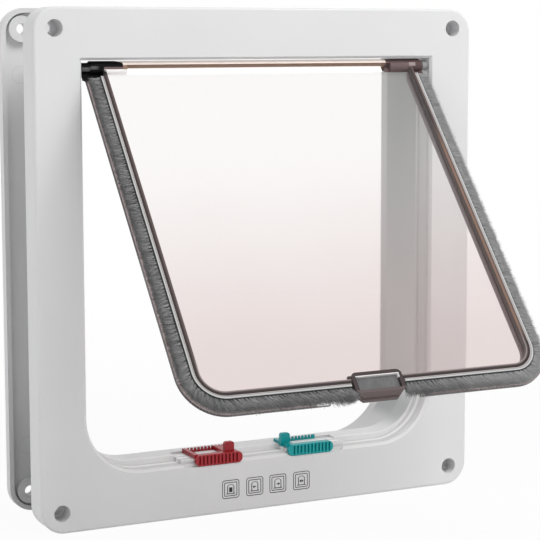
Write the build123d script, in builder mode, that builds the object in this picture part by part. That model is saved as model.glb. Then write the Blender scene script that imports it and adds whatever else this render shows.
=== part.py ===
"""Cat flap: two frames that clamp a door, a tinted swinging flap and two lock sliders.

Millimetres, +Z up. X runs along the hinge, +Y goes through the door to the outside.
The origin is the centre of the screw pattern, on the door face that the inner frame bears on.
"""
import math
import os

from build123d import *

# Frames and the door between them
frame_width = 236.0
frame_height = 250.0
frame_corner_radius = 12.0
frame_wall = 2.2
inner_depth = 15.0
face_thickness = 3.0
face_edge_radius = 1.4
outer_depth = 6.5
outer_floor = 2.5
outer_edge_radius = 1.4
door_thickness = 33.5

# Screw bosses in the corners
screw_inset_x = 10.5
screw_inset_z = 10.0
screw_hole_radius = 2.6
screw_head_radius = 4.1
screw_head_depth = 9.0
inner_boss_radius = 6.0
outer_boss_radius = 6.4
outer_boss_setback = 0.8

# Opening in the inner frame, by the width of the border round it
border_side = 23.6
border_top = 25.0
border_bottom = 26.6
opening_radius = 28.0
opening_bevel = 1.2
mouth_depth = 3.0
ledge_step = 0.4
ledge_depth = 11.0

# Raised rail round the sides and the bottom of the tunnel, and the collar that carries it
rail_step = 0.9
rail_rise = 2.6
rail_radius = 24.0
rail_top_gap = 9.5
collar_reach = 9.0
collar_setback = 2.0
collar_wall = 2.5
collar_top_wall = 2.2
collar_radius = 32.6
threshold_depth = 4.9
ledge_wall = 2.8
stiffener_thickness = 1.6
stiffener_setback = 3.0

# Sleeve of the outer frame, which slides over the collar
sleeve_clearance = 0.4
sleeve_wall = 1.8
sleeve_overlap = 8.0
sleeve_bevel = 0.8

# Hinge: pins of the flap in blind sockets of the inner frame
hinge_setback = 4.5
hinge_drop = 4.0
hinge_clearance = 0.4
hinge_bar_underside = 0.8
hinge_block_length = 18.6
hinge_block_chamfer = 0.6
hinge_cheek_length = 6.0
hinge_cheek_fillet = 1.0
hinge_shoulder_step = 0.8
hinge_shoulder_length = 3.6
hinge_end_play = 0.4
hinge_pin_radius = 2.0
hinge_pin_length = 4.2
hinge_pin_clearance = 0.05
socket_boss_wall = 1.85
socket_end_wall = 1.6

# Flap: lengths down from the hinge axis, heights in front of the plane through it
flap_open_angle = 40.4
lip_side_clearance = 0.7
lip_foot_clearance = 2.8
lip_radius = 20.3
lip_thickness = 1.4
flap_back = 1.6
panel_thickness = 1.6
rib_inset = 8.2
rib_start = 2.0
rib_width = 2.0
rib_height = 2.5
rear_rib_start = 3.4
rear_rib_height = 3.0
rear_rib_slope = 3.2

# Pile seal, seated between the rib and the lip
pile_start = 6.6
pile_backing = 1.9
pile_backing_height = 2.8
pile_height = 2.6
pile_setback = 0.4
pile_fit = 0.05
pile_end_gap = 0.8
pile_lock_gap = 0.2
pile_lock_half_width = 30.0

# Magnet housing at the foot of the flap
housing_half_width = 12.6
housing_length = 11.9
housing_foot = 1.0
housing_height = 4.7
housing_radius = 2.5
housing_chamfer = 3.0
housing_slope = 1.6
magnet_width = 21.0
magnet_length = 6.6
magnet_thickness = 2.3
magnet_floor = 1.0
magnet_top_wall = 2.3
magnet_fit = 0.1

# Magnet under the threshold
threshold_magnet_depth = 10.0
threshold_magnet_thickness = 3.4
threshold_pocket_roof = 2.2
threshold_pocket_fit = 0.3

# Lock sliders, which straddle a guide on the threshold
lock_inner_end = 12.9
lock_length = 25.2
lock_travel = 6.6
lock_rise = 1.3
lock_plate = 1.8
lock_plate_setback = 2.0
lock_end_clearance = 0.3
lock_side_clearance = 0.25
guide_width = 14.0
skirt_height = 4.0
skirt_thickness = 1.2
nib_depth = 0.5
nib_height = 0.7
grip_proud = 0.4
grip_thickness = 2.1
grip_height = 5.5
grip_radius = 2.4
groove_count = 11
groove_pitch = 2.0
groove_shift = 0.5
groove_width = 1.0
groove_height = 4.2
groove_depth = 0.9
tooth_count = 11
tooth_pitch = 1.9
tooth_gap = 1.0
tooth_height = 1.5
window_front_margin = 1.6
window_end_margin = 2.2
tab_width = 5.1
tab_thickness = 2.3
tab_height = 4.8
tab_corner_radius = 1.2
tab_gap = 0.6
red_tab_inset = 3.6
teal_tab_inset = -1.0
notch_depth = 4.6
notch_overlap = 3.2

# Outline of the opening, the rail, the collar and the screw pattern
opening_half_width = frame_width / 2 - border_side
opening_top = frame_height / 2 - border_top
opening_bottom = border_bottom - frame_height / 2
wall_half_width = opening_half_width - ledge_step
rail_half_width = wall_half_width - rail_step
rail_bottom = opening_bottom + ledge_step + rail_rise
rail_top_end = opening_top - rail_top_gap
collar_half_width = rail_half_width + collar_wall
collar_top = opening_top + collar_top_wall
collar_bottom = opening_bottom - threshold_depth
screw_spacing_x = frame_width - 2 * screw_inset_x
screw_spacing_z = frame_height - 2 * screw_inset_z

# Depth planes and the hinge axis
front_face = -inner_depth
ledge_back = front_face + ledge_depth
rear_face = door_thickness + outer_depth
sleeve_front = collar_reach - sleeve_overlap
hinge_y = front_face + hinge_setback
hinge_height = opening_top - hinge_drop
hinge_bar_radius = hinge_drop - hinge_clearance
hinge_shoulder_radius = hinge_bar_radius - hinge_shoulder_step
hinge_shoulder_end = wall_half_width - hinge_end_play
hinge_block_end = hinge_shoulder_end - hinge_shoulder_length
socket_radius = hinge_pin_radius + hinge_pin_clearance
socket_boss_radius = socket_radius + socket_boss_wall
lean = math.radians(flap_open_angle)

# Lip, rib, housing and pile of the flap, measured down from the hinge axis
lip_half_width = rail_half_width - lip_side_clearance
lip_length = hinge_height - rail_bottom - lip_foot_clearance
rib_half_width = lip_half_width - rib_inset
rib_end = lip_length - rib_inset
rib_radius = lip_radius - rib_inset
housing_end = lip_length - housing_foot
housing_start = housing_end - housing_length
lip_corner_cut = housing_chamfer + housing_foot
magnet_start = housing_start + magnet_top_wall
notch_start = lip_length - notch_depth
pile_lock_length = notch_start - pile_lock_gap

# Heights on the flap, from the plane through the hinge axis towards its front
lip_face = lip_thickness - flap_back
panel_face = panel_thickness - flap_back
housing_face = housing_height - flap_back
magnet_seat = magnet_floor - flap_back

# Lock faces shared by the sliders, the threshold and the lip of the flap
lock_top = rail_bottom + lock_rise
lock_outer_end = lock_inner_end + lock_length
slot_inner_end = lock_inner_end - lock_end_clearance
slot_outer_end = lock_outer_end + lock_travel + lock_end_clearance
slot_middle = (slot_inner_end + slot_outer_end) / 2
slot_length = slot_outer_end - slot_inner_end
plate_bottom = lock_top - lock_plate
guide_top = plate_bottom - lock_side_clearance
grip_front = front_face - grip_proud
grip_back = grip_front + grip_thickness
grip_bottom = lock_top - grip_height
slot_floor = grip_bottom - lock_end_clearance
guide_front = grip_back + lock_side_clearance
guide_back = guide_front + guide_width
skirt_front = guide_back + lock_side_clearance
skirt_back = skirt_front + skirt_thickness
skirt_bottom = lock_top - skirt_height
window_front = grip_back + window_front_margin
slot_back = skirt_back + lock_end_clearance
groove_floor = skirt_bottom - lock_end_clearance
nib_top = skirt_bottom + nib_height
undercut_top = nib_top + lock_end_clearance
undercut_depth = nib_depth + lock_side_clearance
red_tab_back = hinge_y + flap_back - lip_thickness - tab_gap
teal_tab_front = hinge_y + flap_back + tab_gap
tab_middle = lock_top + (tab_height - lock_plate) / 2
threshold_pocket_top = rail_bottom - threshold_pocket_roof


def at_depth(y):
    """Sketch plane across the tunnel at depth y, seen from the inner side with +Z up."""
    return Plane.XZ.offset(-y)


def tunnel_outline(half_width, top, bottom, radius):
    """Rectangle with square top corners and rounded bottom corners."""
    with BuildSketch() as outline:
        with Locations((0, (top + bottom) / 2)):
            Rectangle(2 * half_width, top - bottom)
        fillet(outline.vertices().group_by(Axis.Y)[0], radius)
    return outline.sketch


def flap_outline(growth, start):
    """Outline parallel to the outside of the flap rib, growth beyond it, from start below the axis."""
    return tunnel_outline(rib_half_width + growth, -start, -rib_end - growth, rib_radius + growth)


def lock_body(side, tab_inset, end_margin):
    """Slider without its tab, on one side of the centre: grooved grip, open plate and toothed skirt."""
    lock_centre = side * (lock_inner_end + lock_outer_end) / 2
    plate_centre = lock_centre - lock_plate_setback / 2
    plate_length = lock_length - lock_plate_setback
    window_inner = lock_inner_end + tab_inset + tab_width
    window_outer = lock_outer_end - end_margin
    with BuildPart() as body:
        with BuildSketch(at_depth(grip_back)):
            with Locations((lock_centre, lock_top - grip_height / 2)):
                RectangleRounded(lock_length, grip_height, grip_radius)
        extrude(amount=grip_thickness)
        with BuildSketch(at_depth(grip_front + groove_depth)):
            with Locations((lock_centre + side * groove_shift, lock_top - grip_height / 2)):
                with GridLocations(groove_pitch, 0, groove_count, 1):
                    Rectangle(groove_width, groove_height)
        extrude(amount=groove_depth, mode=Mode.SUBTRACT)
        # Plate and skirt, short of the grip at their right-hand end
        with BuildSketch(Plane.XY.offset(plate_bottom)):
            with Locations((plate_centre, (grip_back + skirt_back) / 2)):
                Rectangle(plate_length, skirt_back - grip_back)
            with Locations((side * (window_inner + window_outer) / 2, (window_front + skirt_front) / 2)):
                Rectangle(window_outer - window_inner, skirt_front - window_front, mode=Mode.SUBTRACT)
        extrude(amount=lock_plate)
        with BuildSketch(at_depth(skirt_back)):
            with Locations((plate_centre, lock_top - skirt_height / 2)):
                Rectangle(plate_length, skirt_height)
        extrude(amount=skirt_thickness)
        with BuildSketch(at_depth(skirt_back)):
            with Locations((plate_centre, lock_top - tooth_height / 2)):
                with GridLocations(tooth_pitch, 0, tooth_count, 1):
                    Rectangle(tooth_gap, tooth_height)
        extrude(amount=skirt_thickness, mode=Mode.SUBTRACT)
        # Nibs that hold the slider down on its guide
        with BuildSketch(Plane.XY.offset(skirt_bottom)):
            with Locations((plate_centre, grip_back + nib_depth / 2)):
                Rectangle(plate_length - 2 * grip_radius, nib_depth)
            with Locations((plate_centre, skirt_front - nib_depth / 2)):
                Rectangle(plate_length - 2 * grip_radius, nib_depth)
        extrude(amount=nib_height)
    return body.part


# Outlines of the tunnel, from the mouth to the sleeve
mouth = tunnel_outline(opening_half_width, opening_top, opening_bottom, opening_radius)
ledge = tunnel_outline(wall_half_width, opening_top, opening_bottom + ledge_step, opening_radius - ledge_step)
ledge_outside = tunnel_outline(
    opening_half_width + ledge_wall, collar_top, collar_bottom, collar_radius - ledge_wall / 2
)
rail = tunnel_outline(rail_half_width, opening_top, rail_bottom, rail_radius)
collar = tunnel_outline(collar_half_width, collar_top, collar_bottom, collar_radius)
sleeve_inside = tunnel_outline(
    collar_half_width + sleeve_clearance,
    collar_top + sleeve_clearance,
    collar_bottom - sleeve_clearance,
    collar_radius + sleeve_clearance,
)
sleeve_gauge = sleeve_clearance + sleeve_wall
sleeve_outside = tunnel_outline(
    collar_half_width + sleeve_gauge,
    collar_top + sleeve_gauge,
    collar_bottom - sleeve_gauge,
    collar_radius + sleeve_gauge,
)

# Plane of the flap through the hinge axis: local y runs up the flap, the normal points to its front
flap_plane = Plane(
    origin=(0, hinge_y, hinge_height), x_dir=(1, 0, 0), z_dir=(0, -math.cos(lean), math.sin(lean))
)
# Plane square to the hinge axis: local x points to the back of the flap, local y up the flap
hinge_plane = Plane(
    origin=(0, hinge_y, hinge_height), x_dir=(0, math.cos(lean), -math.sin(lean)), z_dir=(1, 0, 0)
)
flap_normal = Axis(flap_plane.origin, flap_plane.z_dir)

with BuildPart() as inner_frame:
    with BuildSketch(at_depth(0)):
        RectangleRounded(frame_width, frame_height, frame_corner_radius)
    extrude(amount=inner_depth)
    fillet(inner_frame.faces().sort_by(Axis.Y)[0].edges(), face_edge_radius)
    with BuildSketch(at_depth(0)):
        RectangleRounded(
            frame_width - 2 * frame_wall, frame_height - 2 * frame_wall, frame_corner_radius - frame_wall
        )
    extrude(amount=inner_depth - face_thickness, mode=Mode.SUBTRACT)
    # Stiffening ribs from wall to collar, and the corner bosses
    with BuildSketch(at_depth(-stiffener_setback)):
        Rectangle(frame_width - frame_wall, stiffener_thickness)
        Rectangle(stiffener_thickness, frame_height - frame_wall)
    extrude(amount=inner_depth - stiffener_setback - face_thickness / 2)
    with BuildSketch(at_depth(0)):
        with GridLocations(screw_spacing_x, screw_spacing_z, 2, 2):
            Circle(inner_boss_radius)
    extrude(amount=inner_depth - face_thickness / 2)
    # Collar round the opening, thicker behind the face
    with BuildSketch(at_depth(-collar_setback)):
        add(ledge_outside)
    extrude(amount=inner_depth - collar_setback - face_thickness / 2)
    with BuildSketch(at_depth(collar_reach)):
        add(collar)
    extrude(amount=collar_reach + collar_setback + face_thickness)
    # Bosses for the hinge sockets, outside the collar
    for side in (-1, 1):
        with BuildSketch(Plane.YZ.offset(side * wall_half_width)):
            with Locations((hinge_y, hinge_height)):
                Circle(socket_boss_radius)
        extrude(amount=side * (hinge_pin_length + hinge_end_play + socket_end_wall))
    # Stepped opening: mouth, ledge, then the rail
    with BuildSketch(at_depth(front_face + mouth_depth)):
        add(mouth)
    extrude(amount=mouth_depth, mode=Mode.SUBTRACT)
    with BuildSketch(at_depth(ledge_back)):
        add(ledge)
    extrude(amount=ledge_depth - mouth_depth, mode=Mode.SUBTRACT)
    with BuildSketch(at_depth(collar_reach)):
        add(rail)
        with Locations((0, (opening_top + rail_top_end) / 2)):
            Rectangle(2 * wall_half_width, opening_top - rail_top_end)
    extrude(amount=collar_reach - ledge_back, mode=Mode.SUBTRACT)
    chamfer(inner_frame.faces().sort_by(Axis.Y)[0].inner_wires()[0].edges(), opening_bevel)
    # Blind sockets for the hinge pins
    for side in (-1, 1):
        with BuildSketch(Plane.YZ.offset(side * wall_half_width)):
            with Locations((hinge_y, hinge_height)):
                Circle(socket_radius)
        extrude(amount=side * (hinge_pin_length + hinge_end_play), mode=Mode.SUBTRACT)
    # Screw holes, counterbored from the face
    with Locations(at_depth(front_face)):
        with GridLocations(screw_spacing_x, screw_spacing_z, 2, 2):
            CounterBoreHole(screw_hole_radius, screw_head_radius, screw_head_depth)
    # Lock slots: a guide on the threshold, a groove behind it and a recess for the grip
    for side in (-1, 1):
        with BuildSketch(Plane.XY.offset(opening_bottom)):
            with Locations((side * slot_middle, (guide_front + ledge_back) / 2)):
                Rectangle(slot_length, ledge_back - guide_front)
        extrude(amount=guide_top - opening_bottom)
        with BuildSketch(Plane.XY.offset(guide_top)):
            with Locations((side * slot_middle, (ledge_back + slot_back) / 2)):
                Rectangle(slot_length, slot_back - ledge_back)
        extrude(amount=rail_bottom - guide_top, mode=Mode.SUBTRACT)
        with BuildSketch(Plane.XY.offset(groove_floor)):
            with Locations((side * slot_middle, (guide_back + slot_back) / 2)):
                Rectangle(slot_length, slot_back - guide_back)
        extrude(amount=guide_top - groove_floor, mode=Mode.SUBTRACT)
        # Undercuts along both sides of the guide, which the nibs of the slider snap under
        with BuildSketch(Plane.XY.offset(groove_floor)):
            with Locations((side * slot_middle, guide_front + undercut_depth / 2)):
                Rectangle(slot_length, undercut_depth)
            with Locations((side * slot_middle, guide_back - undercut_depth / 2)):
                Rectangle(slot_length, undercut_depth)
        extrude(amount=undercut_top - groove_floor, mode=Mode.SUBTRACT)
        with BuildSketch(at_depth(guide_front)) as recess:
            with Locations((side * slot_middle, (slot_floor + lock_top) / 2)):
                Rectangle(slot_length, lock_top - slot_floor)
            fillet(recess.vertices().group_by(Axis.Y)[0], grip_radius + lock_end_clearance)
        extrude(amount=guide_front - front_face, mode=Mode.SUBTRACT)
    # Pocket for the threshold magnet, open to the rear
    with BuildSketch(at_depth(collar_reach)):
        with Locations((0, threshold_pocket_top - (threshold_magnet_thickness + threshold_pocket_fit) / 2)):
            Rectangle(
                magnet_width + 2 * threshold_pocket_fit, threshold_magnet_thickness + threshold_pocket_fit
            )
    extrude(amount=threshold_magnet_depth, mode=Mode.SUBTRACT)

with BuildPart() as threshold_magnet:
    with BuildSketch(at_depth(collar_reach - threshold_pocket_fit)):
        with Locations((0, threshold_pocket_top - threshold_pocket_fit - threshold_magnet_thickness / 2)):
            Rectangle(magnet_width, threshold_magnet_thickness)
    extrude(amount=threshold_magnet_depth - threshold_pocket_fit)

with BuildPart() as outer_frame:
    with BuildSketch(at_depth(rear_face)):
        RectangleRounded(frame_width, frame_height, frame_corner_radius)
    extrude(amount=outer_depth)
    fillet(outer_frame.faces().sort_by(Axis.Y)[-1].edges(), outer_edge_radius)
    with BuildSketch(at_depth(rear_face - outer_floor)):
        RectangleRounded(
            frame_width - 2 * frame_wall, frame_height - 2 * frame_wall, frame_corner_radius - frame_wall
        )
    extrude(amount=outer_depth, mode=Mode.SUBTRACT)
    # Corner bosses, then the sleeve that reaches through the door
    with BuildSketch(at_depth(rear_face - outer_floor / 2)):
        with GridLocations(screw_spacing_x, screw_spacing_z, 2, 2):
            Circle(outer_boss_radius)
    extrude(amount=outer_depth - outer_floor / 2 - outer_boss_setback)
    with BuildSketch(at_depth(rear_face - outer_floor / 2)):
        add(sleeve_outside)
    extrude(amount=rear_face - outer_floor / 2 - sleeve_front)
    with BuildSketch(at_depth(rear_face)):
        add(sleeve_inside)
    extrude(amount=rear_face - sleeve_front, mode=Mode.SUBTRACT)
    chamfer(outer_frame.faces().sort_by(Axis.Y)[-1].inner_wires()[0].edges(), sleeve_bevel)
    with BuildSketch(at_depth(rear_face)):
        with GridLocations(screw_spacing_x, screw_spacing_z, 2, 2):
            Circle(screw_hole_radius)
    extrude(amount=outer_depth, mode=Mode.SUBTRACT)

with BuildPart() as hinge_bar:
    # Round bar with eased ends, cut away below between its end blocks
    with BuildSketch(hinge_plane):
        Circle(hinge_bar_radius)
    extrude(amount=hinge_block_end, both=True)
    chamfer(hinge_bar.faces().filter_by(Axis.X).edges(), hinge_block_chamfer)
    with BuildSketch(hinge_plane):
        with Locations((0, -hinge_bar_underside - hinge_bar_radius / 2)):
            Rectangle(2 * hinge_bar_radius, hinge_bar_radius)
    extrude(amount=hinge_block_end - hinge_block_length, both=True, mode=Mode.SUBTRACT)
    # Shoulders beside the tunnel walls, then the pins
    for side in (-1, 1):
        with BuildSketch(hinge_plane.offset(side * hinge_block_end)):
            Circle(hinge_shoulder_radius)
        extrude(amount=side * hinge_shoulder_length)
        with BuildSketch(hinge_plane.offset(side * hinge_shoulder_end)):
            Circle(hinge_pin_radius)
        extrude(amount=side * (hinge_end_play + hinge_pin_length))

with BuildPart() as magnet_housing:
    # Block with rounded upper corners, cut-off lower corners and a sloping foot
    with BuildSketch(flap_plane.offset(-flap_back)) as housing_base:
        with Locations((0, -(housing_start + housing_end) / 2)):
            Rectangle(2 * housing_half_width, housing_end - housing_start)
        fillet(housing_base.vertices().group_by(Axis.Y)[-1], housing_radius)
        chamfer(housing_base.vertices().group_by(Axis.Y)[0], housing_chamfer)
    extrude(amount=housing_height)
    housing_front = magnet_housing.faces().sort_by(flap_normal)[-1]
    chamfer(housing_front.edges().sort_by(Axis.Z)[0], housing_slope)

with BuildPart() as flap_panel:
    # Thin lip behind the pile, widened to cheeks beside the hinge
    with BuildSketch(flap_plane.offset(-flap_back)) as lip_base:
        add(flap_outline(rib_inset, 0))
        with Locations((0, -hinge_cheek_length / 2)):
            Rectangle(2 * hinge_shoulder_end, hinge_cheek_length)
        cheek_corners = lip_base.vertices().group_by(Axis.Y)[-2].sort_by(Axis.X)
        fillet(cheek_corners[1:3], hinge_cheek_fillet)
    extrude(amount=lip_thickness)
    # Lock notches beside the magnet housing, each ending short of its pushed-out tab
    with BuildSketch(flap_plane.offset(-flap_back)):
        for side, inset in ((-1, red_tab_inset), (1, teal_tab_inset)):
            notch_end = lock_inner_end + inset + lock_travel + tab_width - notch_overlap
            with Locations((side * (housing_half_width + notch_end) / 2, -(notch_start + lip_length) / 2)):
                Rectangle(notch_end - housing_half_width, lip_length - notch_start)
            # Corner of the lip, cut in line with the housing
            with BuildLine():
                Polyline(
                    (side * housing_half_width, lip_corner_cut - lip_length),
                    (side * housing_half_width, -lip_length),
                    (side * (housing_half_width - lip_corner_cut), -lip_length),
                    close=True,
                )
            make_face()
    extrude(amount=lip_thickness, mode=Mode.SUBTRACT)
    # Panel, and the ribs round its sides and foot, in front and behind
    with BuildSketch(flap_plane.offset(-flap_back)):
        add(flap_outline(0, 0))
    extrude(amount=panel_thickness)
    with BuildSketch(flap_plane.offset(panel_face)):
        add(flap_outline(0, rib_start))
        add(flap_outline(-rib_width, rib_start), mode=Mode.SUBTRACT)
    extrude(amount=rib_height)
    with BuildSketch(flap_plane.offset(-flap_back - rear_rib_height)):
        add(flap_outline(0, rear_rib_start))
        add(flap_outline(-rib_width, rear_rib_start), mode=Mode.SUBTRACT)
    extrude(amount=rear_rib_height)
    # Sloping starts of the rear rib, below the hinge
    with BuildSketch(hinge_plane):
        with BuildLine():
            Polyline(
                (flap_back, -rear_rib_start),
                (flap_back + rear_rib_height, -rear_rib_start),
                (flap_back + rear_rib_height, -rear_rib_start - rear_rib_slope),
                close=True,
            )
        make_face()
    extrude(amount=lip_half_width, both=True, mode=Mode.SUBTRACT)
    add(hinge_bar.part)
    # Magnet housing, open at the front
    add(magnet_housing.part)
    with BuildSketch(flap_plane.offset(magnet_seat)):
        with Locations((0, -magnet_start - magnet_length / 2)):
            Rectangle(magnet_width + 2 * magnet_fit, magnet_length + 2 * magnet_fit)
    extrude(amount=housing_face - magnet_seat, mode=Mode.SUBTRACT)

with BuildPart() as flap_magnet:
    with BuildSketch(flap_plane.offset(magnet_seat)):
        with Locations((0, -magnet_start - magnet_length / 2)):
            Rectangle(magnet_width, magnet_length)
    extrude(amount=magnet_thickness)

with BuildPart() as pile_seal_left:
    # Pile from the rib out to the edge of the lip, short above the path of the lock tab
    with BuildSketch(flap_plane.offset(lip_face)):
        add(flap_outline(rib_inset - pile_setback, pile_start))
        add(flap_outline(pile_fit, pile_start), mode=Mode.SUBTRACT)
        with Locations((lip_half_width / 2 - (housing_half_width + pile_end_gap) / 2, -lip_length / 2)):
            Rectangle(lip_half_width + housing_half_width + pile_end_gap, lip_length, mode=Mode.SUBTRACT)
        with Locations((-pile_lock_half_width / 2, -(pile_lock_length + lip_length) / 2)):
            Rectangle(pile_lock_half_width, lip_length - pile_lock_length, mode=Mode.SUBTRACT)
    extrude(amount=pile_height)
    # Woven backing along the rib
    with BuildSketch(flap_plane.offset(lip_face)):
        add(flap_outline(pile_fit + pile_backing, pile_start))
        add(flap_outline(pile_fit, pile_start), mode=Mode.SUBTRACT)
        with Locations((lip_half_width / 2 - (housing_half_width + pile_end_gap) / 2, -lip_length / 2)):
            Rectangle(lip_half_width + housing_half_width + pile_end_gap, lip_length, mode=Mode.SUBTRACT)
    extrude(amount=pile_backing_height)

with BuildPart() as pile_seal_right:
    mirror(pile_seal_left.part, about=Plane.YZ)

with BuildPart() as red_lock_slider:
    add(lock_body(-1, red_tab_inset, window_end_margin))
    with BuildSketch(at_depth(red_tab_back)) as red_tab:
        with Locations((-lock_inner_end - red_tab_inset - tab_width / 2, tab_middle)):
            Rectangle(tab_width, lock_plate + tab_height)
        fillet(red_tab.vertices().group_by(Axis.Y)[-1], tab_corner_radius)
    extrude(amount=tab_thickness)

with BuildPart() as teal_lock_slider:
    add(lock_body(1, teal_tab_inset, 0))
    with BuildSketch(at_depth(teal_tab_front + tab_thickness)) as teal_tab:
        with Locations((lock_inner_end + teal_tab_inset + tab_width / 2, tab_middle)):
            Rectangle(tab_width, lock_plate + tab_height)
        fillet(teal_tab.vertices().group_by(Axis.Y)[-1], tab_corner_radius)
    extrude(amount=tab_thickness)

os.makedirs("parts", exist_ok=True)
inner_frame.part.label = "inner_frame"
export_step(inner_frame.part, "parts/inner_frame.step")
outer_frame.part.label = "outer_frame"
export_step(outer_frame.part, "parts/outer_frame.step")
threshold_magnet.part.label = "threshold_magnet"
export_step(threshold_magnet.part, "parts/threshold_magnet.step")
flap_panel.part.label = "flap_panel"
export_step(flap_panel.part, "parts/flap_panel.step")
flap_magnet.part.label = "flap_magnet"
export_step(flap_magnet.part, "parts/flap_magnet.step")
pile_seal_left.part.label = "pile_seal_left"
export_step(pile_seal_left.part, "parts/pile_seal_left.step")
pile_seal_right.part.label = "pile_seal_right"
export_step(pile_seal_right.part, "parts/pile_seal_right.step")
red_lock_slider.part.label = "red_lock_slider"
export_step(red_lock_slider.part, "parts/red_lock_slider.step")
teal_lock_slider.part.label = "teal_lock_slider"
export_step(teal_lock_slider.part, "parts/teal_lock_slider.step")
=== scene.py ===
"""Looks of a cat flap: satin frames, a smoke-tinted flap edged in pile, and two lock sliders.

Metres, +Z up. X runs along the hinge, +Y goes through the door to the outside.
The finishes measure in millimetres.
"""

import functools
import logging
import math
from dataclasses import dataclass
from enum import Enum
from typing import Any, Callable, Dict, Iterable, List, Optional, Sequence, Tuple, Union

import bmesh
import bpy
from mathutils import Matrix, Vector


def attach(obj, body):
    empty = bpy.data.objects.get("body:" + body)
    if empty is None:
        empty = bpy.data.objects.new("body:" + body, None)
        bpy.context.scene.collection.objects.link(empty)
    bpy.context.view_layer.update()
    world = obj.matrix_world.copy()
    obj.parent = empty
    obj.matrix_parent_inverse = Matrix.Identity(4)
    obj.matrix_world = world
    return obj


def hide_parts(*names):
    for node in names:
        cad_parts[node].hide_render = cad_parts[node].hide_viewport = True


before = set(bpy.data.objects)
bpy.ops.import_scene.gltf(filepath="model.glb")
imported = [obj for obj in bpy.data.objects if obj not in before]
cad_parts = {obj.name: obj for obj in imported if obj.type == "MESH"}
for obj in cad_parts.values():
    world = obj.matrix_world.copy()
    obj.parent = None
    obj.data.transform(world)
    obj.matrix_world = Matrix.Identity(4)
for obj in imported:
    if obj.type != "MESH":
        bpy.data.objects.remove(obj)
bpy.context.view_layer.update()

LOG = logging.getLogger("cat_flap")
MM = 0.001
IMAGE_PIXELS = 540
PLASTIC_IOR = 1.5
WHITE = (1.0, 1.0, 1.0)
BLACK = (0.0, 0.0, 0.0)
Colour = Tuple[float, float, float]
Point2 = Tuple[float, float]
Band = Tuple[float, float, float, float]
Inputs = Dict[Union[str, int], Any]


class Side(Enum):
    """Side of the flap, as seen from the inner face."""

    LEFT = -1
    RIGHT = 1


class Passage(Enum):
    """Ways through the flap that a mark on the frame can show."""

    SHUT = "shut"
    INWARD = "inward"
    OUTWARD = "outward"
    BOTH = "both"


def arithmetic(operation: str, swapped: bool = False) -> Callable[["Term", "Number"], "Term"]:
    """Makes a method of Term that adds a Math node with two operands.

    Args:
        operation: Name of the Math node's operation.
        swapped: Whether the other operand comes first.

    Returns:
        The method.
    """

    def method(self: "Term", other: "Number") -> "Term":
        """This term and another, through the Math node."""
        return self.graph.math(operation, *((other, self) if swapped else (self, other)))

    return method


class Term:
    """Output socket of a node, with arithmetic that adds Math nodes to its tree."""

    __add__ = __radd__ = arithmetic("ADD")
    __mul__ = __rmul__ = arithmetic("MULTIPLY")
    __sub__ = arithmetic("SUBTRACT")
    __rsub__ = arithmetic("SUBTRACT", swapped=True)
    __truediv__ = arithmetic("DIVIDE")
    __rtruediv__ = arithmetic("DIVIDE", swapped=True)
    at_least = arithmetic("MAXIMUM")
    at_most = arithmetic("MINIMUM")

    def __init__(self, graph: "Graph", socket: bpy.types.NodeSocket) -> None:
        """Keeps the graph that new nodes go into and the socket itself."""
        self.graph = graph
        self.socket = socket

    def __abs__(self) -> "Term":
        """Size of this term without its sign."""
        return self.graph.math("ABSOLUTE", self)

    def ramp(self, low: float, high: float) -> "Term":
        """Smooth step of this term from 0 at low to 1 at high.

        Args:
            low: Value that gives 0.
            high: Value that gives 1, which may be below low.

        Returns:
            The step, between 0 and 1.
        """
        if high < low:
            return 1.0 - self.ramp(high, low)
        limits = {"Value": self, "From Min": low, "From Max": high, "To Min": 0.0, "To Max": 1.0}
        return self.graph.term(self.graph.add("ShaderNodeMapRange", limits, interpolation_type="SMOOTHSTEP"))

    def band(self, places: Band) -> "Term":
        """Smooth band of this term.

        Args:
            places: Where the band starts, is full, is full for the last time and ends.

        Returns:
            The band, between 0 and 1.
        """
        start, full, last, end = places
        return self.ramp(start, full) * self.ramp(end, last)


Number = Union[Term, float, int]


def union(masks: Iterable[Term]) -> Term:
    """The largest of some masks at each place."""
    return functools.reduce(Term.at_least, masks)


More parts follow.
